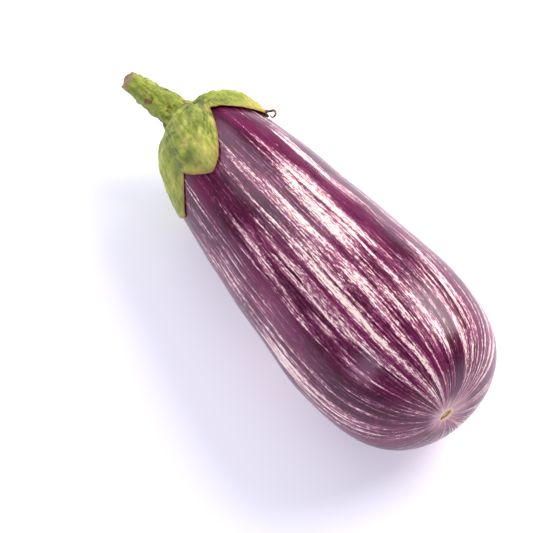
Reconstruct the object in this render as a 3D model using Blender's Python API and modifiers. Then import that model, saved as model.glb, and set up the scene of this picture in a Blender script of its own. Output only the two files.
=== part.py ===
"""A striped eggplant lying on its side: the fruit, the calyx of five lobes on its shoulder, and the stem.

Everything is modelled on the fruit's own axis, +Z from the blossom end to the stem end, and then an
empty lays it down: the belly rests on a small flat spot, and so does the lowest lobe of the calyx.
Azimuths go round the fruit from its upper side, positive towards +Y.
"""

from math import acos, atan2, cos, pi, radians, sin

import bmesh
import bpy
from mathutils import Vector

# Fruit
FRUIT_LENGTH = 0.195
END_BLUNTNESS = 0.666  # 1 would give the two ends of an ellipse, less is blunter
GIRTH = 0.04267  # mean half width
GIRTH_TERMS = (0.00884, 0.00503, -0.00051)  # what the girth gains with one, two and three waves of cosine
PROFILE_STEPS = 44
TURN_STEPS = 44

# Calyx, whose lobes are (azimuth of the tip, drop of the tip, outline power, lift off the skin).
# A drop is measured down the axis from the stem end, and a power over 1 rounds a lobe's outline.
LOBES = (
    (radians(-34), 0.0480, 2.6, 0.0006),
    (radians(52), 0.0280, 1.7, 0.0030),
    (radians(116), 0.0390, 1.5, 0.0010),
    (radians(188), 0.0410, 1.6, 0.0000),
    (radians(277), 0.0450, 1.3, 0.0006),
)
# Notches between a lobe and the next one, as (azimuth, drop)
NOTCHES = (
    (radians(3), 0.0165),
    (radians(86), 0.0190),
    (radians(148), 0.0200),
    (radians(232), 0.0210),
    (radians(307), 0.0350),
)
CALYX_THICKNESS = 0.0019
CALYX_RINGS = 12
CALYX_STEPS = 80

# Stem, as (place from the middle of its base, radius)
STEM_PATH = (
    (Vector((0.0, 0.0, 0.0)), 0.0078),
    (Vector((0.0050, -0.0042, 0.0110)), 0.0064),
    (Vector((0.0110, -0.0094, 0.0178)), 0.0057),
    (Vector((0.0179, -0.0154, 0.0246)), 0.0044),
)
STEM_BASE_HANDLE = 0.0065

GAP = 0.00035  # between two pieces that touch
DROOP = radians(5.1)  # how far the stem end leans down
FLAT_DEPTH = 0.00045  # how much of the belly the flat spot takes

SKIN_COLOUR = (0.120, 0.020, 0.065, 1.0)
CALYX_COLOUR = (0.360, 0.460, 0.080, 1.0)
STEM_COLOUR = (0.330, 0.480, 0.070, 1.0)


def clear_scene():
    for old in list(bpy.data.objects):
        bpy.data.objects.remove(old, do_unlink=True)


def new_collection(name):
    collection = bpy.data.collections.new(name)
    bpy.context.scene.collection.children.link(collection)
    return collection


def new_material(name, colour, roughness):
    material = bpy.data.materials.new(name)
    material.use_nodes = True
    shader = material.node_tree.nodes["Principled BSDF"]
    shader.inputs["Base Color"].default_value = colour
    shader.inputs["Roughness"].default_value = roughness
    shader.inputs["Metallic"].default_value = 0.0
    return material


def add_object(name, data, collection, parent, material):
    part = bpy.data.objects.new(name, data)
    collection.objects.link(part)
    part.parent = parent
    data.materials.append(material)
    return part


def fruit_point(turn):
    """(radius, height) of the skin, where turn runs from 0 at the blossom end to pi at the stem end."""
    girth = GIRTH + sum(term * cos(wave * turn) for wave, term in enumerate(GIRTH_TERMS, 1))
    return Vector((girth * sin(turn) ** END_BLUNTNESS, FRUIT_LENGTH * (1 - cos(turn)) / 2))


def outside_point(turn, lift):
    """(radius, height) of the point at this height above the skin."""
    if pi - turn < 1e-3:
        return Vector((0.0, FRUIT_LENGTH + lift))
    along = fruit_point(turn + 1e-4) - fruit_point(turn - 1e-4)
    return fruit_point(turn) + lift * Vector((along.y, -along.x)).normalized()


def turn_at_drop(drop):
    return pi - acos(1 - 2 * drop / FRUIT_LENGTH)


def add_fruit(collection, parent):
    """The turned fruit, from a profile that runs down from the stem end."""
    mesh = bpy.data.meshes.new("fruit")
    outline = bmesh.new()
    turns = [pi * (1 - step / PROFILE_STEPS) for step in range(PROFILE_STEPS + 1)]
    points = [fruit_point(turn) for turn in turns[1:-1]]
    points = [Vector((0.0, FRUIT_LENGTH)), *points, Vector((0.0, 0.0))]
    ring = [outline.verts.new((point.x, 0.0, point.y)) for point in points]
    for upper, lower in zip(ring, ring[1:]):
        outline.edges.new((upper, lower))
    outline.to_mesh(mesh)
    outline.free()
    fruit = add_object("fruit", mesh, collection, parent, new_material("eggplant_skin", SKIN_COLOUR, 0.28))
    screw = fruit.modifiers.new("turn", "SCREW")
    screw.steps = TURN_STEPS
    screw.render_steps = TURN_STEPS
    screw.use_merge_vertices = True
    screw.merge_threshold = 0.00001
    screw.use_smooth_shade = True
    return fruit


def lobe_edge(azimuth):
    """(drop of the calyx's edge, lift of the lobe) at an azimuth."""
    for number, (tip, tip_drop, power, lift) in enumerate(LOBES):
        offset = atan2(sin(azimuth - tip), cos(azimuth - tip))
        side = NOTCHES[number if offset >= 0 else number - 1]
        reach = atan2(sin(side[0] - tip), cos(side[0] - tip))
        if offset * reach >= 0 and abs(offset) <= abs(reach) + 1e-9:
            share = offset / reach
            return tip_drop + (side[1] - tip_drop) * share**power, lift * (1 - share**2)
    raise ValueError("no lobe covers this azimuth")


def add_calyx(collection, parent):
    """Rings that follow the shoulder from the hub to the lobes' outline, thickened outwards."""
    mesh = bpy.data.meshes.new("calyx")
    shell = bmesh.new()
    hub = shell.verts.new((0.0, 0.0, FRUIT_LENGTH + GAP))
    rings = []
    for ring in range(1, CALYX_RINGS + 1):
        share = ring / CALYX_RINGS
        verts = []
        for step in range(CALYX_STEPS):
            azimuth = 2 * pi * step / CALYX_STEPS
            drop, lift = lobe_edge(azimuth)
            turn = pi - share * (pi - turn_at_drop(drop))
            point = outside_point(turn, GAP + lift * sin(0.8 * pi * share) ** 2)
            verts.append(shell.verts.new((point.x * cos(azimuth), point.x * sin(azimuth), point.y)))
        rings.append(verts)
    for step in range(CALYX_STEPS):
        after = (step + 1) % CALYX_STEPS
        shell.faces.new((hub, rings[0][step], rings[0][after]))
        for inner, outer in zip(rings, rings[1:]):
            shell.faces.new((inner[step], outer[step], outer[after], inner[after]))
    shell.to_mesh(mesh)
    shell.free()
    mesh.shade_smooth()
    calyx = add_object("calyx", mesh, collection, parent, new_material("calyx_green", CALYX_COLOUR, 0.5))
    wall = calyx.modifiers.new("thickness", "SOLIDIFY")
    wall.thickness = CALYX_THICKNESS
    wall.offset = 1.0
    return calyx


def add_stem(collection, parent):
    """A tapering curve from the hub of the calyx to the cut end."""
    curve = bpy.data.curves.new("stem", "CURVE")
    curve.dimensions = "3D"
    curve.resolution_u = 6
    curve.bevel_depth = 1.0
    curve.bevel_resolution = 2
    curve.use_fill_caps = True
    spline = curve.splines.new("BEZIER")
    spline.bezier_points.add(len(STEM_PATH) - 1)
    base = Vector((0.0, 0.0, FRUIT_LENGTH + GAP + CALYX_THICKNESS + GAP))
    for knot, (place, radius) in zip(spline.bezier_points, STEM_PATH):
        knot.co = base + place
        knot.radius = radius
        knot.handle_left_type = "AUTO"
        knot.handle_right_type = "AUTO"
    root = spline.bezier_points[0]
    root.handle_left_type = "FREE"
    root.handle_right_type = "FREE"
    root.handle_left = base - Vector((0.0, 0.0, STEM_BASE_HANDLE))
    root.handle_right = base + Vector((0.0, 0.0, STEM_BASE_HANDLE))
    return add_object("stem", curve, collection, parent, new_material("stem_green", STEM_COLOUR, 0.5))


def add_ground_cutter(collection):
    """A block whose top is the surface that the eggplant lies on."""
    bpy.ops.mesh.primitive_cube_add(size=1.0, location=(0.0, 0.0, -0.05))
    cutter = bpy.context.object
    cutter.name = "ground_cutter"
    cutter.dimensions = (0.6, 0.3, 0.1)
    cutter.hide_render = True
    cutter.display_type = "WIRE"
    for owner in list(cutter.users_collection):
        owner.objects.unlink(cutter)
    collection.objects.link(cutter)
    return cutter


def cut_flat(part, cutter):
    flat = part.modifiers.new("flat_spot", "BOOLEAN")
    flat.operation = "DIFFERENCE"
    flat.object = cutter
    flat.solver = "EXACT"


def belly_depth():
    """How far the leaning fruit reaches below the blossom end of its axis."""
    points = [fruit_point(pi * step / 400) for step in range(1, 400)]
    return max(point.x * cos(DROOP) + point.y * sin(DROOP) for point in points)


def centre_over_origin(root, parts):
    """Slides the whole eggplant until the middle of its box is over the origin."""
    bpy.context.view_layer.update()
    graph = bpy.context.evaluated_depsgraph_get()
    corners = []
    for part in parts:
        evaluated = part.evaluated_get(graph)
        shape = evaluated.to_mesh()
        corners += [evaluated.matrix_world @ vertex.co for vertex in shape.vertices]
        evaluated.to_mesh_clear()
    for axis in (0, 1):
        along = [corner[axis] for corner in corners]
        root.location[axis] -= (min(along) + max(along)) / 2


def main():
    clear_scene()
    pieces = new_collection("eggplant")
    cutters = new_collection("cutters")
    root = bpy.data.objects.new("eggplant_root", None)
    pieces.objects.link(root)
    root.rotation_euler = (0.0, -pi / 2 - DROOP, 0.0)
    root.location = (0.0, 0.0, belly_depth() - FLAT_DEPTH)
    fruit = add_fruit(pieces, root)
    calyx = add_calyx(pieces, root)
    stem = add_stem(pieces, root)
    ground = add_ground_cutter(cutters)
    cut_flat(fruit, ground)
    cut_flat(calyx, ground)
    centre_over_origin(root, (fruit, calyx, stem))


main()
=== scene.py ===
import bmesh
import bpy
from math import acos, atan2, cos, exp, pi, radians, sin
from mathutils import Euler, Matrix, Vector, noise
import numpy as np


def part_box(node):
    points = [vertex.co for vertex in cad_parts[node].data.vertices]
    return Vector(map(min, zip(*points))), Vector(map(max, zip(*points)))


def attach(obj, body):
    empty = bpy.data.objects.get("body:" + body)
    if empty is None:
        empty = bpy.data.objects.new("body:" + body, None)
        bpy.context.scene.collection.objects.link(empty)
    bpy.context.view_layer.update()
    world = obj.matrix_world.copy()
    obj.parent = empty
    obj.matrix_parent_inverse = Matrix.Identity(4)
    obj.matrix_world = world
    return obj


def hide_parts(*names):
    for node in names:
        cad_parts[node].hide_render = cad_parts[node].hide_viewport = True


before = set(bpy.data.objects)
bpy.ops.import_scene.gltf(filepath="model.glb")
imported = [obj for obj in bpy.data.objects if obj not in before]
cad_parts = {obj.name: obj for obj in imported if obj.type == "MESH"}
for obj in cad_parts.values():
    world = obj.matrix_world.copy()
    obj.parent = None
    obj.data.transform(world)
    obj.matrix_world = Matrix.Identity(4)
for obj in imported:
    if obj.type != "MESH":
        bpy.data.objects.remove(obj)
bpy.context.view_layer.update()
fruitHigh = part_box("fruit")[1]
mm = 0.001

# the fruit's own rule, in metres: everything is laid out on its axis, then laid down
fruit = {
    "length": 0.195,
    "bluntEnds": 0.666,
    "girth": 0.04267,
    "swell": (0.00884, 0.00503, -0.00051),  # one, two and three waves of cosine
    "droop": radians(5.1),  # how far the stem end leans down
    "flatSpot": 0.45 * mm,
    "stepsRound": 400,
    "stepsAlong": 230,
    "endSteps": 0.85,  # crowds the steps towards both ends
    "lumps": 0.55 * mm,
    "lumpSize": 0.030,
    "dimple": 1.1 * mm,
    "dimpleWidth": 6.0 * mm,
    "lean": (0.2 * mm, -0.75 * mm, -1.5 * mm),  # even, sloping and curved drift of the axis
    "leanSide": radians(-112),  # azimuth that it drifts to
    "scarShift": 3.55 * mm,  # how far the blossom scar lies off the axis
    "scarSide": radians(-126),
    "scarReach": 14 * mm,
    "evenTube": 0.04,  # radius of the tube that the streaks are drawn on
    "weld": 0.000002,
}


def fruitPoint(turn):
    # radius and height, where turn runs from 0 at the blossom end to pi at the stem end
    girth = fruit["girth"] + sum(term * cos(wave * turn) for wave, term in enumerate(fruit["swell"], 1))
    return girth * max(sin(turn), 0) ** fruit["bluntEnds"], fruit["length"] * (1 - cos(turn)) / 2


def outward(turn):
    # the skin's direction outwards, as radius and height
    step = 0.001
    if pi - turn < 2 * step:
        return Vector((0, 1))
    (r0, h0), (r1, h1) = fruitPoint(turn - step), fruitPoint(turn + step)
    return Vector((h1 - h0, r0 - r1)).normalized()


def turnAt(drop):
    # drop is measured down the axis from the stem end
    return pi - acos(1 - 2 * drop / fruit["length"])


def fruitLying():
    # the matrix that lays the fruit's axis down where the frame has it
    droop, steps = fruit["droop"], 600
    rim = [fruitPoint(pi * step / steps) for step in range(1, steps)]
    depth = max(r * cos(droop) + h * sin(droop) for r, h in rim)
    reach = max(r * sin(droop) - h * cos(droop) for r, h in rim)
    spot = Vector((fruitHigh.x - reach, 0, depth - fruit["flatSpot"]))
    return Matrix.Translation(spot) @ Euler((0, -pi / 2 - droop, 0)).to_matrix().to_4x4()


lying = fruitLying()


def drift(height):
    # how far the axis wanders sideways at this height
    far = 2 * height / fruit["length"] - 1
    even, slope, curve = fruit["lean"]
    return even + slope * far + curve * far * far


def onSkin(turn, azimuth, lift=0.0):
    # a point over the skin, still in the fruit's own frame
    radius, height = fruitPoint(turn)
    aside, side = drift(height), fruit["leanSide"]
    out = outward(turn)
    radius, height = radius + lift * out.x, height + lift * out.y
    x = radius * cos(azimuth) + aside * cos(side)
    y = radius * sin(azimuth) + aside * sin(side)
    return Vector((x, y, height))


def put(tree, kind, sockets=None, **settings):
    made = tree.nodes.new(kind)
    for name, value in settings.items():
        setattr(made, name, value)
    for name, value in (sockets or {}).items():
        if isinstance(value, bpy.types.NodeSocket):
            tree.links.new(value, made.inputs[name])
        else:
            made.inputs[name].default_value = value
    return made


def maths(tree, operation, *values):
    return put(tree, "ShaderNodeMath", dict(enumerate(values)), operation=operation).outputs[0]


def weighted(tree, *parts, start=None):
    # the sum of values, each times its share, on top of start
    total = start
    for value, share in parts:
        part = maths(tree, "MULTIPLY", value, share)
        total = part if total is None else maths(tree, "ADD", total, part)
    return total


def spread(tree, value, low, high, toLow=0.0, toHigh=1.0):
    # eases low to high into toLow to toHigh
    sockets = {"Value": value, "From Min": low, "From Max": high, "To Min": toLow, "To Max": toHigh}
    return put(tree, "ShaderNodeMapRange", sockets, interpolation_type="SMOOTHSTEP").outputs["Result"]


def blendColours(tree, share, first, second):
    return put(tree, "ShaderNodeMix", {0: share, 6: first, 7: second}, data_type="RGBA").outputs[2]


def noiseAt(tree, place, scale, detail=2.0, rough=0.5, shift=(0, 0, 0)):
    # scale is one number, or one for each direction
    scale = scale if isinstance(scale, tuple) else (scale, scale, scale)
    moved = put(tree, "ShaderNodeMapping", {"Vector": place, "Location": shift, "Scale": scale})
    grain = {"Vector": moved.outputs[0], "Scale": 1.0, "Detail": detail, "Roughness": rough}
    return put(tree, "ShaderNodeTexNoise", grain).outputs[0]


def readAttribute(tree, name, output="Fac"):
    return put(tree, "ShaderNodeAttribute", attribute_name=name).outputs[output]


def setBump(tree, shader, height, strength, distance):
    bump = put(tree, "ShaderNodeBump", {"Height": height, "Strength": strength, "Distance": distance})
    tree.links.new(bump.outputs[0], shader.inputs["Normal"])


def newMaterial(name):
    material = bpy.data.materials.new(name)
    material.use_nodes = True
    tree = material.node_tree
    return material, tree, tree.nodes["Principled BSDF"]


def colour(red, green, blue):
    # a screen colour, 0 to 255, as the linear value that the shaders take
    linear = [((c / 255 + 0.055) / 1.055) ** 2.4 if c > 10 else c / 3295 for c in (red, green, blue)]
    return (*linear, 1)


def newTree(name, inputs):
    tree = bpy.data.node_groups.new(name, "GeometryNodeTree")
    tree.interface.new_socket("Geometry", in_out="OUTPUT", socket_type="NodeSocketGeometry")
    tree.interface.new_socket("Geometry", in_out="INPUT", socket_type="NodeSocketGeometry")
    for label, kind in inputs:
        tree.interface.new_socket(label, in_out="INPUT", socket_type=kind)
    return tree, tree.nodes.new("NodeGroupInput"), tree.nodes.new("NodeGroupOutput")


def keepAttribute(tree, geometry, name, value, kind="FLOAT", domain="POINT"):
    sockets = {"Geometry": geometry, "Name": name, "Value": value}
    made = put(tree, "GeometryNodeStoreNamedAttribute", sockets, data_type=kind, domain=domain)
    return made.outputs[0]


def endTree(tree, geometry, finish, result):
    real = put(tree, "GeometryNodeRealizeInstances", {0: geometry})
    done = put(tree, "GeometryNodeSetMaterial", {"Geometry": real.outputs[0], "Material": finish})
    tree.links.new(done.outputs[0], result.inputs[0])


def runTree(name, tree, values, start=None):
    # evaluates the tree on a helper object and keeps the result as a plain mesh
    helper = bpy.data.objects.new(name + "Helper", start or bpy.data.meshes.new(name + "Start"))
    bpy.context.scene.collection.objects.link(helper)
    modifier = helper.modifiers.new("nodes", "NODES")
    modifier.node_group = tree
    for item in tree.interface.items_tree:
        if item.item_type == "SOCKET" and item.in_out == "INPUT" and item.name in values:
            modifier[item.identifier] = values[item.name]
    graph = bpy.context.evaluated_depsgraph_get()
    mesh = bpy.data.meshes.new_from_object(helper.evaluated_get(graph), depsgraph=graph)
    helper.modifiers.remove(modifier)
    bpy.data.objects.remove(helper)
    mesh.name = name
    return placed(name, mesh)


def placed(name, mesh):
    piece = bpy.data.objects.new(name, mesh)
    bpy.context.scene.collection.objects.link(piece)
    return piece


def coverRows(shape, rows, flip):
    # faces from a hub out across closed rows of points
    steps = len(rows[0])
    hub = shape.verts.new(sum((vert.co for vert in rows[0]), Vector()) / steps)
    for step in range(steps):
        after = (step + 1) % steps
        faces = [(hub, rows[0][step], rows[0][after])]
        faces += [(near[step], far[step], far[after], near[after]) for near, far in zip(rows, rows[1:])]
        for face in faces:
            shape.faces.new(face[::-1] if flip else face)


def finishPiece(piece, slotName, *nodes):
    piece.data.shade_smooth()
    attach(piece, "root")
    if nodes:
        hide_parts(*nodes)
    print(piece.name, "made,", len(piece.data.polygons), "faces")


# where the pale streaks crowd together, as (azimuth, from, to, width, strength). Azimuths and widths are in
# degrees, from the upper side, and from and to are shares of the length from the blossom end. A negative
# strength keeps a band purple.
streakBands = (
    (-90, 0.04, 0.46, 4.0, 0.8),
    (-84, 0.22, 0.36, 2.5, 0.8),
    (-74, 0.48, 0.64, 3.0, 0.8),
    (-61, 0.50, 0.80, 1.2, 0.6),
    (-45, 0.42, 0.66, 2.5, 0.7),
    (-44, 0.20, 0.31, 2.0, 1.0),
    (-50, 0.05, 0.20, 3.0, 0.6),
    (-25, 0.05, 0.42, 2.2, 1.1),
    (-22, 0.40, 0.58, 1.5, 0.7),
    (-15, 0.58, 0.82, 1.6, 0.8),
    (-10, 0.18, 0.55, 1.8, 0.8),
    (1, 0.30, 0.56, 2.4, 0.6),
    (5, 0.28, 0.68, 10.0, 0.30),
    (-24, 0.14, 0.48, 8.0, 0.45),
    (-6, 0.10, 0.34, 7.0, 0.45),
    (-70, 0.00, 0.18, 14.0, -0.5),
    (11, 0.30, 0.72, 3.4, 0.9),
    (12, 0.78, 0.90, 1.0, 0.7),
    (20, 0.66, 0.88, 1.0, 0.5),
    (22, 0.02, 0.30, 2.5, 0.7),
    (33, 0.44, 0.80, 3.2, 1.1),
    (36, 0.10, 0.36, 3.0, 0.7),
    (4, 0.03, 0.25, 5.0, 0.5),
    (-55, 0.30, 0.74, 4.0, -0.7),
    (-62, 0.12, 0.40, 7.0, -0.8),
    (-32, 0.56, 0.76, 6.0, -0.8),
    (25, 0.20, 0.86, 3.0, -0.9),
    (-18, 0.10, 0.30, 3.0, -0.4),
    (5, 0.76, 0.95, 14.0, -0.6),
    (68, 0.10, 0.70, 4.0, 0.9),
    (92, 0.25, 0.85, 5.0, 1.0),
    (110, 0.05, 0.50, 3.5, 0.8),
    (128, 0.30, 0.80, 3.0, 0.9),
    (150, 0.05, 0.60, 5.0, 1.0),
    (172, 0.20, 0.80, 3.0, 0.7),
    (-165, 0.05, 0.55, 4.0, 0.9),
    (-142, 0.30, 0.78, 3.5, 0.8),
    (-118, 0.10, 0.60, 4.5, 1.0),
    (80, 0.20, 0.80, 5.0, -0.7),
    (140, 0.10, 0.70, 5.0, -0.7),
    (-152, 0.10, 0.80, 6.0, -0.7),
    (-104, 0.20, 0.80, 5.0, -0.6),
)


def skinTree():
    # a turned fruit from a flat grid, with lumps, a dimple, a drifting axis and a flat spot
    sizes = ("Length", "Blunt ends", "Girth", "Swell 1", "Swell 2", "Swell 3", "End steps", "Lumps",
             "Lump size", "Dimple", "Dimple width", "Lean", "Lean slope", "Lean curve", "Lean side",
             "Scar shift", "Scar side", "Scar reach")
    labels = [(name, "NodeSocketFloat") for name in sizes]
    labels += [("Steps round", "NodeSocketInt"), ("Steps along", "NodeSocketInt")]
    labels += [("Laid down", "NodeSocketRotation"), ("Place", "NodeSocketVector")]
    labels += [("Finish", "NodeSocketMaterial")]
    tree, given, result = newTree("turnedFruit", labels)
    value = given.outputs
    grid = put(tree, "GeometryNodeMeshGrid", {"Vertices X": value["Steps round"],
                                              "Vertices Y": value["Steps along"]})
    flat = put(tree, "ShaderNodeSeparateXYZ", {0: put(tree, "GeometryNodeInputPosition").outputs[0]}).outputs
    across = maths(tree, "ADD", flat[0], 0.5)
    along = maths(tree, "ADD", flat[1], 0.5)
    azimuth = maths(tree, "MULTIPLY", across, 2 * pi)
    # the turn angle, eased so that the rings crowd at the two ends
    once = maths(tree, "SINE", maths(tree, "MULTIPLY", along, 2 * pi))
    ease = maths(tree, "DIVIDE", once, 2 * pi)
    eased = maths(tree, "SUBTRACT", along, maths(tree, "MULTIPLY", ease, value["End steps"]))
    turn = maths(tree, "MULTIPLY", eased, pi)
    girth = value["Girth"]
    for wave in (1, 2, 3):
        ripple = maths(tree, "COSINE", maths(tree, "MULTIPLY", turn, float(wave)))
        girth = maths(tree, "ADD", girth, maths(tree, "MULTIPLY", ripple, value["Swell %d" % wave]))
    sine = maths(tree, "MAXIMUM", maths(tree, "SINE", turn), 0.0)
    radius = maths(tree, "MULTIPLY", girth, maths(tree, "POWER", sine, value["Blunt ends"]))
    height = maths(tree, "MULTIPLY", maths(tree, "SUBTRACT", 1.0, maths(tree, "COSINE", turn)),
                   maths(tree, "MULTIPLY", value["Length"], 0.5))
    around = {0: maths(tree, "COSINE", azimuth), 1: maths(tree, "SINE", azimuth)}
    side = put(tree, "ShaderNodeCombineXYZ", around).outputs[0]
    # soft lumps of the flesh, faded out at the two ends
    widened = {0: side, "Scale": fruit["evenTube"]}
    ring = put(tree, "ShaderNodeVectorMath", widened, operation="SCALE").outputs[0]
    spot = put(tree, "ShaderNodeVectorMath",
               {0: ring, 1: put(tree, "ShaderNodeCombineXYZ", {2: height}).outputs[0]}).outputs[0]
    size = maths(tree, "DIVIDE", 1.0, value["Lump size"])
    lump = put(tree, "ShaderNodeTexNoise", {"Vector": spot, "Scale": size, "Detail": 1.0, "Roughness": 0.4})
    swing = maths(tree, "MULTIPLY", maths(tree, "SUBTRACT", lump.outputs[0], 0.5),
                  maths(tree, "MULTIPLY", value["Lumps"], 4.0))
    uneven = maths(tree, "ADD", radius, maths(tree, "MULTIPLY", swing, sine))
    # the dimple round the blossom scar
    near = maths(tree, "POWER", maths(tree, "DIVIDE", radius, value["Dimple width"]), 2.0)
    hollow = maths(tree, "DIVIDE", value["Dimple"], maths(tree, "EXPONENT", near))
    front = maths(tree, "LESS_THAN", eased, 0.5)
    lifted = maths(tree, "ADD", height, maths(tree, "MULTIPLY", hollow, front))
    # the slight drift of the axis, and the pull of the blossom end to the scar's side
    far = maths(tree, "MULTIPLY", maths(tree, "COSINE", turn), -1.0)
    lean = maths(tree, "MULTIPLY_ADD", far, value["Lean curve"], value["Lean slope"])
    lean = maths(tree, "MULTIPLY_ADD", far, lean, value["Lean"])
    fade = maths(tree, "POWER", maths(tree, "DIVIDE", radius, value["Scar reach"]), 2.0)
    pull = maths(tree, "EXPONENT", fade)
    pull = maths(tree, "MULTIPLY", maths(tree, "DIVIDE", value["Scar shift"], pull), front)
    leanX = maths(tree, "MULTIPLY", lean, maths(tree, "COSINE", value["Lean side"]))
    leanY = maths(tree, "MULTIPLY", lean, maths(tree, "SINE", value["Lean side"]))
    leanX = maths(tree, "MULTIPLY_ADD", pull, maths(tree, "COSINE", value["Scar side"]), leanX)
    leanY = maths(tree, "MULTIPLY_ADD", pull, maths(tree, "SINE", value["Scar side"]), leanY)
    place = put(tree, "ShaderNodeCombineXYZ", {
        0: maths(tree, "ADD", maths(tree, "MULTIPLY", uneven, maths(tree, "COSINE", azimuth)), leanX),
        1: maths(tree, "ADD", maths(tree, "MULTIPLY", uneven, maths(tree, "SINE", azimuth)), leanY),
        2: lifted}).outputs[0]
    # the place on an even tube, which the streaks are drawn on
    stored = keepAttribute(tree, grid.outputs[0], "skinPlace", spot, "FLOAT_VECTOR")
    # how far from the blossom end's axis, and out of reach on the other half
    off = maths(tree, "ADD", radius, maths(tree, "SUBTRACT", 1.0, front))
    ringed = keepAttribute(tree, stored, "fromBlossom", off)
    mapped = keepAttribute(tree, ringed, "OFBake", grid.outputs["UV Map"], "FLOAT2", "CORNER")
    turned = put(tree, "GeometryNodeSetPosition", {"Geometry": mapped, "Position": place})
    closed = put(tree, "GeometryNodeMergeByDistance", {"Geometry": turned.outputs[0],
                                                       "Distance": fruit["weld"]})
    laid = put(tree, "GeometryNodeTransform", {"Geometry": closed.outputs[0], "Rotation": value["Laid down"],
                                               "Translation": value["Place"]})
    here = put(tree, "ShaderNodeSeparateXYZ", {0: put(tree, "GeometryNodeInputPosition").outputs[0]}).outputs
    rested = put(tree, "ShaderNodeCombineXYZ", {0: here[0], 1: here[1],
                                                2: maths(tree, "MAXIMUM", here[2], 0.0)})
    flatSpot = put(tree, "GeometryNodeSetPosition", {"Geometry": laid.outputs[0],
                                                     "Position": rested.outputs[0]})
    endTree(tree, flatSpot.outputs[0], value["Finish"], result)
    return tree


def addBandAttribute(mesh):
    # how much the pale streaks crowd or stay away at each point of the skin
    count = len(mesh.vertices)
    spots = np.empty(count * 3, np.float32)
    mesh.attributes["skinPlace"].data.foreach_get("vector", spots)
    spots = spots.reshape(-1, 3)
    azimuths = np.degrees(np.arctan2(spots[:, 1], spots[:, 0]))
    shares = spots[:, 2] / fruit["length"]
    crowd = np.zeros(count)
    for middle, low, high, width, strength in streakBands:
        off = (azimuths - middle + 180) % 360 - 180
        taper = 0.18 * (high - low) + 0.01
        ends = np.clip((shares - low) / taper, 0, 1) * np.clip((high - shares) / taper, 0, 1)
        crowd += strength * np.exp(-((off / width) ** 2)) * ends
    layer = mesh.attributes.new("streakBand", "FLOAT", "POINT")
    layer.data.foreach_set("value", crowd.astype(np.float32))


skinLook = {
    "deep": colour(66, 6, 38),
    "purple": colour(110, 24, 72),
    "lilac": colour(172, 82, 128),
    "pink": colour(222, 136, 172),
    "cream": colour(250, 232, 214),
    "scarYellow": colour(236, 214, 172),
    "roughness": 0.28,
    # how fine each pattern is, per metre, twice across the fruit and then along it
    "wander": (60, 60, 22),
    "longStreaks": (430, 430, 12),
    "thinStreaks": (1200, 1200, 38),
    "raggedEdges": (1600, 1600, 360),
    "crowding": (90, 90, 12),
    "fibres": (1500, 1500, 75),
    "patches": (110, 110, 22),
    "scarLines": (240, 240, 150),
    "clouds": (160, 160, 80),
    "pores": (1800, 1800, 1200),
    "swells": (420, 420, 40),
    "sway": 1.6 * mm,  # how far the streaks wander sideways
    "stretch": 0.9,  # how far the pattern runs on inwards for each metre nearer to the scar
    "stretchFrom": 35 * mm,
    # what the streaks are added up from, and where the sum turns pink and cream
    "longShare": 0.40,
    "crowdShare": 0.14,
    "bandShare": 0.090,
    "thinShare": 0.32,
    "raggedShare": 0.58,
    "raggedPinkShare": 0.22,
    "pinkFrom": (0.520, 0.650),
    "creamFrom": (0.778, 0.826),
    "speckleFrom": (0.255, 0.300),
    # distances from the blossom end's axis
    "streaksFade": (6 * mm, 22 * mm),
    "linesFade": (4 * mm, 13 * mm),
    "yellowFade": (2.6 * mm, 4.6 * mm),
}


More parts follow.
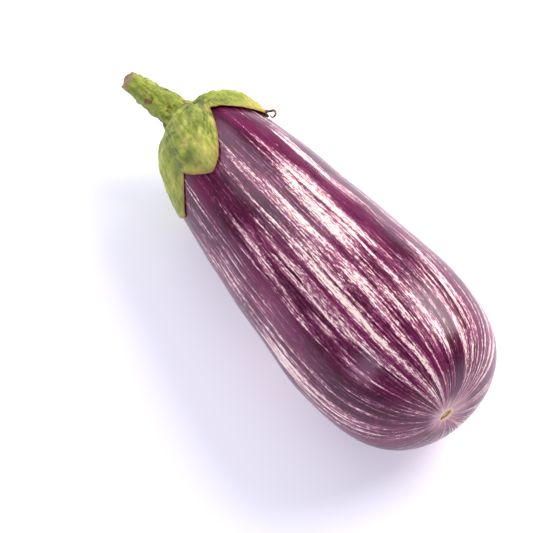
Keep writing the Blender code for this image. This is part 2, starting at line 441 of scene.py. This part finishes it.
def makeSkinMaterial():
    look = skinLook
    material, tree, shader = newMaterial("stripedSkin")
    place = readAttribute(tree, "skinPlace", "Vector")
    band = readAttribute(tree, "streakBand")
    height = put(tree, "ShaderNodeSeparateXYZ", {0: place}).outputs[2]
    share = maths(tree, "DIVIDE", height, fruit["length"])
    near = readAttribute(tree, "fromBlossom")
    # the streaks wander a little from side to side
    wander = maths(tree, "SUBTRACT", noiseAt(tree, place, look["wander"], 2.0, 0.5, (3, 1, 5)), 0.5)
    sway = maths(tree, "MULTIPLY", wander, look["sway"])
    # the height hardly changes near the scar, so the distance from it carries the pattern on there
    close = maths(tree, "MINIMUM", near, look["stretchFrom"])
    inwards = maths(tree, "MULTIPLY_ADD", close, look["stretch"], -look["stretch"] * look["stretchFrom"])
    shift = put(tree, "ShaderNodeVectorMath",
                {0: place, 1: put(tree, "ShaderNodeCombineXYZ", {0: sway, 1: sway, 2: inwards}).outputs[0]})
    spot = shift.outputs[0]
    long = noiseAt(tree, spot, look["longStreaks"], 2.0, 0.6, (1.7, 4.2, 0.3))
    thin = noiseAt(tree, spot, look["thinStreaks"], 3.0, 0.65, (7.1, 2.4, 9.3))
    ragged = noiseAt(tree, spot, look["raggedEdges"], 4.0, 0.72, (2.2, 8.4, 1.9))
    crowd = noiseAt(tree, place, look["crowding"], 1.0, 0.5, (5.5, 0.4, 6.6))
    soft = weighted(tree, (long, look["longShare"]), (crowd, look["crowdShare"]), (band, look["bandShare"]))
    # fewer near the calyx
    soft = maths(tree, "ADD", soft, spread(tree, share, 0.62, 0.95, 0.0, -0.04))
    signal = weighted(tree, (thin, look["thinShare"]), start=soft)
    halo = weighted(tree, (ragged, look["raggedPinkShare"]), start=signal)
    signal = weighted(tree, (ragged, look["raggedShare"]), start=signal)
    # speckles only where the streaks crowd
    gate = spread(tree, soft, *look["speckleFrom"], -0.06, 0.0)
    signal = maths(tree, "ADD", signal, gate)
    pale = spread(tree, signal, *look["creamFrom"])
    blush = spread(tree, halo, *look["pinkFrom"])
    # the purple itself is streaky too
    fibre = noiseAt(tree, spot, look["fibres"], 3.0, 0.7, (4.4, 6.6, 2.8))
    patch = noiseAt(tree, place, look["patches"], 2.0, 0.5, (9.5, 3.4, 1.6))
    depth = weighted(tree, (fibre, 0.55), (patch, 0.5))
    base = blendColours(tree, spread(tree, depth, 0.44, 0.66), look["deep"], look["purple"])
    base = blendColours(tree, spread(tree, fibre, 0.60, 0.82, 0.0, 0.5), base, look["lilac"])
    base = blendColours(tree, spread(tree, ragged, 0.50, 0.72, 0.0, 0.3), base, look["lilac"])
    tinted = blendColours(tree, maths(tree, "MULTIPLY", blush, 0.82), base, look["pink"])
    # the streaks thin out towards the blossom scar, and short fine lines run out from it
    pale = maths(tree, "MULTIPLY", pale, spread(tree, near, *look["streaksFade"], 0.3, 1.0))
    lines = noiseAt(tree, spot, look["scarLines"], 3.0, 0.6, (6.1, 2.9, 3.7))
    lined = blendColours(tree, spread(tree, lines, 0.42, 0.70, 0.15, 0.75), look["lilac"], look["cream"])
    painted = blendColours(tree, pale, tinted, look["cream"])
    painted = blendColours(tree, spread(tree, near, *look["linesFade"], 0.8, 0.0), painted, lined)
    yellow = spread(tree, near, *look["yellowFade"], 0.8, 0.0)
    painted = blendColours(tree, yellow, painted, look["scarYellow"])
    tree.links.new(painted, shader.inputs["Base Color"])
    rough = maths(tree, "ADD", spread(tree, pale, 0, 1, 0.0, 0.06), look["roughness"] - 0.03)
    cloud = noiseAt(tree, place, look["clouds"], 2.0, 0.5)
    tree.links.new(weighted(tree, (cloud, 0.07), start=rough), shader.inputs["Roughness"])
    shader.inputs["Specular IOR Level"].default_value = 0.4
    shader.inputs["IOR"].default_value = 1.45
    shader.inputs["Coat Weight"].default_value = 0.08
    shader.inputs["Coat Roughness"].default_value = 0.18
    shader.inputs["Coat IOR"].default_value = 1.45
    pores = noiseAt(tree, place, look["pores"], 2.0, 0.6)
    swells = noiseAt(tree, spot, look["swells"], 2.0, 0.5, (3.3, 1.2, 4.4))
    relief = weighted(tree, (pores, 0.05), (swells, 0.30), (pale, 0.05))
    setBump(tree, shader, relief, 0.25, 0.5 * mm)
    return material


def makeSkin():
    values = {"Length": fruit["length"], "Blunt ends": fruit["bluntEnds"], "Girth": fruit["girth"],
              "End steps": fruit["endSteps"], "Lumps": fruit["lumps"], "Lump size": fruit["lumpSize"],
              "Dimple": fruit["dimple"], "Dimple width": fruit["dimpleWidth"],
              "Lean": fruit["lean"][0], "Lean slope": fruit["lean"][1], "Lean curve": fruit["lean"][2],
              "Lean side": fruit["leanSide"], "Scar shift": fruit["scarShift"],
              "Scar side": fruit["scarSide"], "Scar reach": fruit["scarReach"],
              "Laid down": lying.to_euler(), "Place": lying.translation, "Finish": makeSkinMaterial(),
              "Steps round": fruit["stepsRound"] + 1, "Steps along": fruit["stepsAlong"] + 1}
    for wave, term in enumerate(fruit["swell"], 1):
        values["Swell %d" % wave] = term
    skin = runTree("fruitSkin", skinTree(), values)
    addBandAttribute(skin.data)
    finishPiece(skin, "skin", "fruit")


# lobes as (azimuth of the tip, drop of the tip, outline power, lift, thickness share), and the notch after
# each as (azimuth, drop)
calyx = {
    "lobes": (
        (radians(-31), 0.0488, 1.6, 0.0010, 1.0),
        (radians(54), 0.0285, 1.25, 0.0026, 1.0),
        (radians(116), 0.0390, 1.5, 0.0012, 1.0),
        (radians(188), 0.0410, 1.6, 0.0000, 1.0),
        (radians(277), 0.0450, 1.3, 0.0000, 0.6),
    ),
    "notches": (
        (radians(3), 0.0165),
        (radians(86), 0.0190),
        (radians(148), 0.0200),
        (radians(232), 0.0210),
        (radians(306), 0.0350),
    ),
    "stepsRound": 480,
    "rings": 96,
    "innerRings": 10,
    "gap": 0.30 * mm,
    "hubThick": 2.5 * mm,
    "edgeThick": 0.75 * mm,
    "rib": 1.1 * mm,
    "crease": 1.3 * mm,  # depth of the folds between the lobes
    "pleat": 0.75 * mm,  # fine folds that run to the rim
    "lumps": 0.9 * mm,
    "curl": 1.4 * mm,  # how far the rim lifts off the skin
    "wave": 0.9 * mm,  # how uneven the outline is
    "pressed": 0.5 * mm,  # least height of the inner side over the floor, under the lowest lobe
    "ribWidth": 0.17,  # widths as shares of half a lobe
    "creaseWidth": 0.22,
    "fineLumps": 0.3,  # mm
    "leastThick": 0.35 * mm,
}


def wrapped(angle):
    return atan2(sin(angle), cos(angle))


def lobeAt(azimuth):
    # the lobe's number, how far across it (0 at the tip, 1 at a notch), its edge's drop, lift and thickness
    for number, (tip, tipDrop, power, lift, thick) in enumerate(calyx["lobes"]):
        offset = wrapped(azimuth - tip)
        notchAzimuth, notchDrop = calyx["notches"][number if offset >= 0 else number - 1]
        reach = wrapped(notchAzimuth - tip)
        if offset * reach >= 0 and abs(offset) <= abs(reach) + 1e-9:
            side = offset / reach
            around = Vector((cos(azimuth), sin(azimuth), 0))
            wave = noise.noise(around * 5.3) + 0.45 * noise.noise(around * 17 + Vector((3, 1, 2)))
            drop = tipDrop + (notchDrop - tipDrop) * side**power + calyx["wave"] * wave
            return number, side, drop, lift, thick
    raise ValueError("no lobe here")


def calyxHeights(share, azimuth, lobe):
    # underside and upper side of the calyx over the skin, and how far it bulges in mm
    number, side, _, lift, body = lobe
    around = Vector((cos(azimuth), sin(azimuth), 0))
    ripple = noise.noise(around * 3 + Vector((0, 0, share * 3 + number)))
    under = calyx["gap"] + lift * (1 - side**2) * sin(0.9 * pi * share) ** 2
    under += calyx["curl"] * share**7 * (0.5 + 0.9 * ripple) * body
    spot = around * (8 * share) + Vector((0, 0, 9 * share))
    lump = noise.fractal(spot * 0.9, 0.7, 2.2, 3) * calyx["lumps"] * body
    fine = noise.noise(spot * 3.2) * calyx["fineLumps"] * mm
    pleat = noise.fractal(around * 4.6 + Vector((0, 0, share * 1.3)), 0.8, 2.1, 3)
    pleat *= calyx["pleat"] * min(share * 2.5, 1)
    rib = calyx["rib"] * exp(-((side / calyx["ribWidth"]) ** 2))
    rib = rib * (1 - share) ** 0.5 * min(share * 4, 1) * body
    crease = calyx["crease"] * exp(-(((1 - side) / calyx["creaseWidth"]) ** 2))
    crease = crease * min(share * 2, 1) * (1 - share) ** 0.35 * body
    thick = calyx["hubThick"] + (calyx["edgeThick"] - calyx["hubThick"]) * share**0.9
    thick *= 0.35 + 0.65 * body
    raised = lump + fine + pleat + rib - crease
    rim = (1 - share**24) ** 0.5
    return under, under + max(thick + raised, calyx["leastThick"]) * rim, raised / mm


def makeCalyxMesh():
    steps = calyx["stepsRound"]
    shell = bmesh.new()
    toEdge = shell.verts.layers.float.new("edgeShare")
    leafPlace = shell.verts.layers.float_vector.new("leafPlace")
    raisedMm = shell.verts.layers.float.new("raisedMm")
    grid = {}
    for side, rings in (("outer", calyx["rings"]), ("inner", calyx["innerRings"])):
        grid[side] = []
        for ring in range(1, rings + 1):
            share = 1 - (1 - ring / rings) ** 1.25 if side == "outer" else ring / rings
            row = []
            for step in range(steps):
                azimuth = 2 * pi * step / steps
                lobe = lobeAt(azimuth)
                turn = pi - share * (pi - turnAt(lobe[2]))
                under, over, raised = calyxHeights(share, azimuth, lobe)
                # the rim is one row that both sides share
                lift = over if side == "outer" else under
                if share == 1:
                    lift = (under + over) / 2
                leaf = Vector((cos(azimuth) * 6, sin(azimuth) * 6, share * 2.5))
                row.append((onSkin(turn, azimuth, lift), share, leaf, raised))
            grid[side].append(row)

    def addVert(point, share, leaf, raised, lowest=0.0):
        # no point may lie under lowest: the lowest lobe rests on the floor
        vert = shell.verts.new(lying @ point)
        vert.co.z = max(vert.co.z, lowest)
        vert[toEdge] = share
        vert[leafPlace] = leaf
        vert[raisedMm] = raised
        return vert

    rim = [addVert(*spot, calyx["pressed"] / 2) for spot in grid["outer"][-1]]
    for side in ("outer", "inner"):
        lowest = 0.0 if side == "outer" else calyx["pressed"]
        rows = [[addVert(*spot, lowest) for spot in row] for row in grid[side][:-1]] + [rim]
        coverRows(shell, rows, side == "inner")
    mesh = bpy.data.meshes.new("calyxCap")
    shell.to_mesh(mesh)
    shell.free()
    return mesh


greenLook = {
    # the next two are painted shade for the calyx's folds and a painted highlight for its ridges
    "foldShade": colour(84, 102, 34),
    "ridgeHighlight": colour(206, 208, 104),
    "dark": colour(124, 138, 48),
    "green": colour(154, 168, 60),
    "light": colour(190, 198, 88),
    "yellow": colour(206, 188, 94),
    "brown": colour(138, 88, 42),
    "cut": colour(164, 138, 90),
    "roughness": 0.5,
    # how fine the patterns are, per metre, but the veins' for the lobes' own places
    "blotches": 110,
    "grain": 480,
    "cork": 150,
    "veins": (3.1, 3.1, 1.0),
    "foldShadeFrom": (-1.1, -0.1),  # mm of bulge
    "ridgeHighlightFrom": (0.25, 1.3),
    "yellowFrom": (0.78, 1.12),
    "rimFrom": (0.955, 1.0),  # share of the way out to the rim
    "corkEdge": 0.05,
}


def makeGreenMaterial(name, corky, alongVeins=1.0):
    # corky is the level above which the noise turns to brown cork, so a lower one gives more of it
    look = greenLook
    material, tree, shader = newMaterial(name)
    place = put(tree, "ShaderNodeTexCoord").outputs["Object"]
    leaf = readAttribute(tree, "leafPlace", "Vector")
    edge = readAttribute(tree, "edgeShare")
    cut = readAttribute(tree, "cutShare")
    broad = noiseAt(tree, place, look["blotches"], 3.0, 0.55, (2, 5, 1))
    fine = noiseAt(tree, place, look["grain"], 4.0, 0.62, (8, 3, 4))
    veins = noiseAt(tree, leaf, look["veins"], 4.0, 0.62, (1, 1, 7))
    blend = weighted(tree, (broad, 0.45), (fine, 0.2), (veins, 0.40 * alongVeins))
    middle = 0.325 + 0.20 * alongVeins
    deeper = spread(tree, blend, middle - 0.13, middle + 0.04)
    tone = blendColours(tree, deeper, look["dark"], look["green"])
    lighter = spread(tree, blend, middle - 0.01, middle + 0.13, 0.0, 0.9)
    tone = blendColours(tree, lighter, tone, look["light"])
    # painted shade in the folds and a painted highlight on the ridges, following how far the calyx bulges
    raised = readAttribute(tree, "raisedMm")
    tone = blendColours(tree, spread(tree, raised, *look["foldShadeFrom"], 0.75, 0.0), tone, look["foldShade"])
    tone = blendColours(tree, spread(tree, raised, *look["ridgeHighlightFrom"], 0.0, 0.65), tone, look["ridgeHighlight"])
    # sun-yellowed blotches and rims
    ripe = weighted(tree, (edge, 0.55), (broad, 0.8))
    tone = blendColours(tree, spread(tree, ripe, *look["yellowFrom"], 0.0, 0.7), tone, look["yellow"])
    tone = blendColours(tree, spread(tree, edge, *look["rimFrom"], 0.0, 0.6), tone, look["brown"])
    cork = noiseAt(tree, place, look["cork"], 5.0, 0.68, (4, 9, 2))
    corked = (corky, corky + look["corkEdge"])
    tone = blendColours(tree, spread(tree, cork, *corked, 0.0, 0.85), tone, look["brown"])
    tone = blendColours(tree, cut, tone, look["cut"])
    tree.links.new(tone, shader.inputs["Base Color"])
    rough = spread(tree, fine, 0.3, 0.7, look["roughness"] - 0.08, look["roughness"] + 0.12)
    tree.links.new(rough, shader.inputs["Roughness"])
    shader.inputs["Specular IOR Level"].default_value = 0.4
    shader.inputs["Subsurface Weight"].default_value = 0.08
    shader.inputs["Subsurface Radius"].default_value = (0.7, 1.0, 0.2)
    shader.inputs["Subsurface Scale"].default_value = 1.2 * mm
    relief = weighted(tree, (fine, 0.55), (veins, 0.6))
    relief = maths(tree, "ADD", relief, spread(tree, cork, *corked, 0.0, 0.3))
    setBump(tree, shader, relief, 0.9, 1.4 * mm)
    return material


def makeCalyx():
    piece = placed("calyxCap", makeCalyxMesh())
    piece.data.materials.append(makeGreenMaterial("calyxGreen", 0.66))
    finishPiece(piece, "calyx", "calyx")


# knots as (place, radius) in mm: the stem's from the hub, the dried tip's from its root
stem = {
    "knots": (((-0.5, 0.4, -1.5), 10.6), ((1.4, -1.2, 2.2), 9.0), ((5.5, -4.6, 8.0), 7.2),
              ((11.5, -9.6, 15.4), 6.2), ((17.1, -14.3, 23.4), 4.9), ((18.9, -15.9, 25.1), 4.4)),
    "aboveHub": 0.8 * mm,
    "cutFrom": (0.982, 0.997),  # share of the way along where the cut face starts
    "sharpOver": radians(55),  # for the dried tip too
    "rings": 220,
    "sides": 140,
    "ribs": 5.0,
    "ribDepth": 0.08,
    "twist": 0.22,
    "lumps": 0.34,
    "lumpSize": 5.5 * mm,
}

driedTip = {
    "knots": (((0, 0, 0), 0.9), ((2.0, 0.2, 1.0), 0.6), ((4.4, 0.3, 2.4), 0.44), ((5.9, 0.3, 1.0), 0.4),
              ((4.9, 0.2, -0.6), 0.34), ((3.5, 0.1, -0.2), 0.25)),
    "rings": 120,
    "sides": 16,
    "ribs": 2.0,
    "ribDepth": 0.22,
    "twist": 1.5,
    "lumps": 0.35,
    "lumpSize": 1.2 * mm,
    "rootInside": 1.2,  # mm
}


def makePath(name, knots, spot):
    # a smooth curve through the knots, carried by the matrix spot
    path = bpy.data.curves.new(name, "CURVE")
    path.dimensions = "3D"
    spline = path.splines.new("BEZIER")
    spline.bezier_points.add(len(knots) - 1)
    for knot, (place, radius) in zip(spline.bezier_points, knots):
        knot.handle_left_type = knot.handle_right_type = "AUTO"
        knot.co = spot @ (Vector(place) * mm)
        knot.radius = radius * mm
    spline.resolution_u = 24
    return path


def ribbedTree():
    # a ribbed, lumpy tube along the curve that it is given
    labels = [(name, "NodeSocketFloat") for name in ("Ribs", "Rib depth", "Twist", "Lumps", "Lump size")]
    labels += [("Rings", "NodeSocketInt"), ("Sides", "NodeSocketInt"), ("Finish", "NodeSocketMaterial")]
    tree, given, result = newTree("ribbedTube", labels)
    value = given.outputs
    even = put(tree, "GeometryNodeResampleCurve", {"Curve": value["Geometry"], "Count": value["Rings"]})
    along = put(tree, "GeometryNodeSplineParameter").outputs["Factor"]
    thick = put(tree, "GeometryNodeInputRadius").outputs[0]
    kept = keepAttribute(tree, even.outputs[0], "alongShare", along)
    sized = keepAttribute(tree, kept, "tubeRadius", thick)
    ring = put(tree, "GeometryNodeCurvePrimitiveCircle", {"Resolution": value["Sides"], "Radius": 1.0})
    marked = keepAttribute(tree, ring.outputs[0], "aroundShare",
                           put(tree, "GeometryNodeSplineParameter").outputs["Factor"])
    tube = put(tree, "GeometryNodeCurveToMesh",
               {"Curve": sized, "Profile Curve": marked,
                "Scale": put(tree, "GeometryNodeInputRadius").outputs[0], "Fill Caps": True})

    def read(name):
        return put(tree, "GeometryNodeInputNamedAttribute", {"Name": name}, data_type="FLOAT").outputs[0]

    angle = maths(tree, "MULTIPLY", read("aroundShare"), 2 * pi)
    phase = maths(tree, "MULTIPLY", maths(tree, "MULTIPLY", read("alongShare"), value["Twist"]), 2 * pi)
    rib = maths(tree, "COSINE", maths(tree, "MULTIPLY_ADD", angle, value["Ribs"], phase))
    here = put(tree, "GeometryNodeInputPosition").outputs[0]
    size = maths(tree, "DIVIDE", 1.0, value["Lump size"])
    lump = put(tree, "ShaderNodeTexNoise", {"Vector": here, "Scale": size, "Detail": 3.0,
                                            "Roughness": 0.55})
    rough = maths(tree, "MULTIPLY", maths(tree, "SUBTRACT", lump.outputs[0], 0.5), value["Lumps"])
    swell = maths(tree, "MULTIPLY_ADD", rib, value["Rib depth"], maths(tree, "MULTIPLY", rough, 2.0))
    out = put(tree, "ShaderNodeVectorMath",
              {0: put(tree, "GeometryNodeInputNormal").outputs[0],
               "Scale": maths(tree, "MULTIPLY", swell, read("tubeRadius"))}, operation="SCALE")
    bulged = put(tree, "GeometryNodeSetPosition", {"Geometry": tube.outputs[0], "Offset": out.outputs[0]})
    leaf = put(tree, "ShaderNodeCombineXYZ", {0: maths(tree, "MULTIPLY", maths(tree, "COSINE", angle), 2.0),
                                              1: maths(tree, "MULTIPLY", maths(tree, "SINE", angle), 2.0),
                                              2: maths(tree, "MULTIPLY", read("alongShare"), 3.0)})
    leafed = keepAttribute(tree, bulged.outputs[0], "leafPlace", leaf.outputs[0], "FLOAT_VECTOR")
    atEnd = spread(tree, read("alongShare"), *stem["cutFrom"])
    ended = keepAttribute(tree, leafed, "cutShare", atEnd)
    endTree(tree, ended, value["Finish"], result)
    return tree


def makeTube(name, look, spot, material, slotName, *nodes):
    values = {"Ribs": look["ribs"], "Rib depth": look["ribDepth"], "Twist": look["twist"],
              "Lumps": look["lumps"], "Lump size": look["lumpSize"], "Rings": look["rings"],
              "Sides": look["sides"], "Finish": material}
    piece = runTree(name, ribbedTree(), values, makePath(name + "Path", look["knots"], spot))
    finishPiece(piece, slotName, *nodes)
    piece.data.set_sharp_from_angle(angle=stem["sharpOver"])


def makeStem():
    spot = lying @ Matrix.Translation(onSkin(pi, 0.0, calyx["gap"] + stem["aboveHub"]))
    makeTube("stemStalk", stem, spot, makeGreenMaterial("stemGreen", 0.565, 0.6), "stem", "stem")


def makeDriedMaterial():
    material, tree, shader = newMaterial("driedBrown")
    place = put(tree, "ShaderNodeTexCoord").outputs["Object"]
    grain = noiseAt(tree, place, 900, 4.0, 0.6)
    tone = blendColours(tree, spread(tree, grain, 0.35, 0.65), colour(96, 66, 44), colour(178, 140, 96))
    tree.links.new(tone, shader.inputs["Base Color"])
    tree.links.new(spread(tree, grain, 0.3, 0.7, 0.6, 0.8), shader.inputs["Roughness"])
    setBump(tree, shader, grain, 0.6, 0.4 * mm)
    return material


def makeDriedTip():
    # the curled brown end of the arched lobe
    azimuth = calyx["lobes"][1][0]
    lobe = lobeAt(azimuth)
    turn = turnAt(lobe[2])
    under, over, _ = calyxHeights(0.97, azimuth, lobe)
    lift = (under + over) / 2
    root, back = onSkin(turn, azimuth, lift), onSkin(turn + 0.02, azimuth, lift)
    ahead = (root - back).normalized()
    out = Vector((cos(azimuth), sin(azimuth), 0))
    out = (out - ahead * out.dot(ahead)).normalized()
    spot = Matrix((ahead, ahead.cross(out), out)).transposed().to_4x4()
    spot.translation = root - ahead * driedTip["rootInside"] * mm
    makeTube("driedTip", driedTip, lying @ spot, makeDriedMaterial(), "calyx")


scar = {
    "halfLength": 3.4 * mm,
    "halfWidth": 1.4 * mm,
    "rimHeight": 0.4 * mm,
    "rimAt": 0.72,  # shares of the way out to the edge
    "rimWidth": 0.2,
    "pit": 0.35 * mm,
    "pitWidth": 0.45,
    "grain": 0.12 * mm,
    "proud": 0.08 * mm,  # how far its edge stands over the skin
    "sunk": 0.6 * mm,
    "unevenEdge": 0.10,
    "rings": 26,
    "sides": 96,
}


def scarHeight(across, along, share):
    # the scar's upper side over the bottom of the dimple
    grain = noise.fractal(Vector((across, along, 0)) / mm * 1.3, 0.8, 2.1, 3)
    rim = scar["rimHeight"] * exp(-(((share - scar["rimAt"]) / scar["rimWidth"]) ** 2))
    pit = scar["pit"] * exp(-((share / scar["pitWidth"]) ** 2))
    return rim * (1 + 0.5 * grain) - pit + scar["grain"] * grain * (1 - share**4)


def makeScar():
    shape = bmesh.new()
    depth = shape.verts.layers.float.new("scarShare")
    side = Vector((cos(fruit["leanSide"]), sin(fruit["leanSide"]), 0))
    other = Vector((-side.y, side.x, 0))
    middle = side * drift(0.0)
    middle += Vector((cos(fruit["scarSide"]), sin(fruit["scarSide"]), 0)) * fruit["scarShift"]
    outerRows, baseRows = [], []
    for ring in range(1, scar["rings"] + 1):
        share = ring / scar["rings"]
        outer, base = [], []
        for step in range(scar["sides"]):
            angle = 2 * pi * step / scar["sides"]
            edge = 1 + scar["unevenEdge"] * noise.noise(Vector((cos(angle) * 2, sin(angle) * 2, 5)))
            along = scar["halfLength"] * cos(angle) * share * edge
            across = scar["halfWidth"] * sin(angle) * share * edge
            floor = fruit["dimple"] * exp(-(along * along + across * across) / fruit["dimpleWidth"] ** 2)
            lift = scarHeight(across, along, share) * (1 - share**8) + scar["proud"]
            spot = middle + side * along + other * across
            # the blossom end looks down the axis, so outwards is towards minus z
            for row, height in ((outer, floor - lift), (base, floor + scar["sunk"])):
                vert = shape.verts.new(lying @ (spot + Vector((0, 0, height))))
                vert[depth] = share
                row.append(vert)
        outerRows.append(outer)
        baseRows.append(base)
    coverRows(shape, outerRows, True)
    coverRows(shape, baseRows, False)
    outer, base = outerRows[-1], baseRows[-1]
    for step in range(scar["sides"]):
        after = (step + 1) % scar["sides"]
        shape.faces.new((outer[after], outer[step], base[step], base[after]))
    bmesh.ops.recalc_face_normals(shape, faces=shape.faces)
    mesh = bpy.data.meshes.new("blossomScar")
    shape.to_mesh(mesh)
    shape.free()
    mesh.materials.append(makeScarMaterial())
    finishPiece(placed("blossomScar", mesh), "skin")


def makeScarMaterial():
    material, tree, shader = newMaterial("corkyScar")
    place = put(tree, "ShaderNodeTexCoord").outputs["Object"]
    share = readAttribute(tree, "scarShare")
    grain = noiseAt(tree, place, 1100, 4.0, 0.65)
    tone = blendColours(tree, spread(tree, grain, 0.35, 0.65), colour(150, 92, 40), colour(206, 158, 88))
    dark = maths(tree, "ADD", share, maths(tree, "MULTIPLY", grain, 0.3))
    tone = blendColours(tree, spread(tree, dark, 0.30, 0.75, 0.8, 0.0), tone, colour(96, 50, 22))
    tone = blendColours(tree, spread(tree, dark, 1.0, 1.15), tone, skinLook["scarYellow"])
    tree.links.new(tone, shader.inputs["Base Color"])
    tree.links.new(spread(tree, grain, 0.3, 0.7, 0.55, 0.8), shader.inputs["Roughness"])
    setBump(tree, shader, grain, 0.7, 0.4 * mm)
    return material


studio = {
    "cameraAzimuth": radians(54.9),
    "cameraElevation": radians(56.0),
    "cameraDistance": 1.039,
    "lens": 162.0,
    "sensor": 36.0,
    "clip": (0.05, 20.0),
    "aimRight": -20.4 * mm,
    "aimUp": -1.6 * mm,
    # name, way from the fruit (right, up and nearer in the camera's view), distance, size, watts, tint
    "softboxes": (
        ("keyBox", (0.62, 0.70, 0.35), 0.9, (0.7, 0.5), 9.6, (1.0, 0.94, 0.97)),
        ("leftBox", (-0.62, -0.20, 0.72), 0.9, (0.30, 0.6), 2.3, (0.84, 0.78, 1.0)),
        ("backBox", (-0.45, 0.85, 0.10), 1.0, (0.8, 0.4), 3.2, (0.94, 0.92, 1.0)),
    ),
    "roomTint": (0.88, 0.87, 1.0, 1.0),
    "roomLight": 0.46,
    "mirroredTint": (0.86, 0.86, 1.0, 1),
    "mirroredLight": 0.12,
    "floorSize": 6.0,
    "floorTint": (0.84, 0.84, 0.86, 1),
    "floorRoughness": 0.6,
    "floorGlow": (0.84, 0.86, 1.0, 1),
    "floorGlowLight": 0.32,
}


def addCamera():
    azimuth, elevation = studio["cameraAzimuth"], studio["cameraElevation"]
    back = Vector((sin(azimuth) * cos(elevation), -cos(azimuth) * cos(elevation), sin(elevation)))
    right = Vector((0, 0, 1)).cross(back).normalized()
    up = back.cross(right)
    middle = lying @ Vector((0, 0, fruit["length"] / 2))
    target = middle + right * studio["aimRight"] + up * studio["aimUp"]
    data = bpy.data.cameras.new("camera")
    data.lens = studio["lens"]
    data.sensor_width = studio["sensor"]
    camera = bpy.data.objects.new("camera", data)
    camera.location = target + back * studio["cameraDistance"]
    camera.rotation_euler = (-back).to_track_quat("-Z", "Y").to_euler()
    data.clip_start, data.clip_end = studio["clip"]
    bpy.context.scene.collection.objects.link(camera)
    bpy.context.scene.camera = camera
    return back, right, up, middle


def addSoftbox(name, place, aim, size, watts, tint):
    data = bpy.data.lights.new(name, "AREA")
    data.shape = "RECTANGLE"
    data.size, data.size_y = size
    data.energy = watts
    data.color = tint
    box = bpy.data.objects.new(name, data)
    box.location = place
    box.rotation_euler = (place - aim).to_track_quat("Z", "Y").to_euler()
    bpy.context.scene.collection.objects.link(box)


def addRoom():
    # the room is white to the camera, and dimmer in reflections, so that only the soft boxes shine
    world = bpy.data.worlds.new("paleRoom")
    world.use_nodes = True
    bpy.context.scene.world = world
    tree = world.node_tree
    sky = tree.nodes["Background"]
    sky.inputs["Color"].default_value = studio["roomTint"]
    sky.inputs["Strength"].default_value = studio["roomLight"]
    seen = put(tree, "ShaderNodeBackground", {"Color": (1, 1, 1, 1), "Strength": 1.0})
    rays = put(tree, "ShaderNodeLightPath")
    dim = put(tree, "ShaderNodeBackground", {"Color": studio["mirroredTint"],
                                             "Strength": studio["mirroredLight"]})
    inside = put(tree, "ShaderNodeMixShader", {0: rays.outputs["Is Glossy Ray"], 1: sky.outputs[0],
                                               2: dim.outputs[0]})
    mixed = put(tree, "ShaderNodeMixShader", {0: rays.outputs["Is Camera Ray"], 1: inside.outputs[0],
                                              2: seen.outputs[0]})
    tree.links.new(mixed.outputs[0], tree.nodes["World Output"].inputs["Surface"])


def addFloor():
    bpy.ops.mesh.primitive_plane_add(size=studio["floorSize"], location=(0, 0, 0))
    floor = bpy.context.object
    floor.name = "paleFloor"
    material, _, shader = newMaterial("palePaper")
    shader.inputs["Base Color"].default_value = studio["floorTint"]
    shader.inputs["Roughness"].default_value = studio["floorRoughness"]
    shader.inputs["Emission Color"].default_value = studio["floorGlow"]
    shader.inputs["Emission Strength"].default_value = studio["floorGlowLight"]
    floor.data.materials.append(material)


def addStudio():
    back, right, up, middle = addCamera()
    for name, (sideways, upwards, nearer), distance, size, watts, tint in studio["softboxes"]:
        way = (right * sideways + up * upwards + back * nearer).normalized()
        addSoftbox(name, middle + way * distance, middle, size, watts, tint)
    addRoom()
    addFloor()
    bpy.context.scene.view_settings.view_transform = "Standard"
    print("studio set")


addStudio()
makeSkin()
makeScar()
makeCalyx()
makeStem()
makeDriedTip()
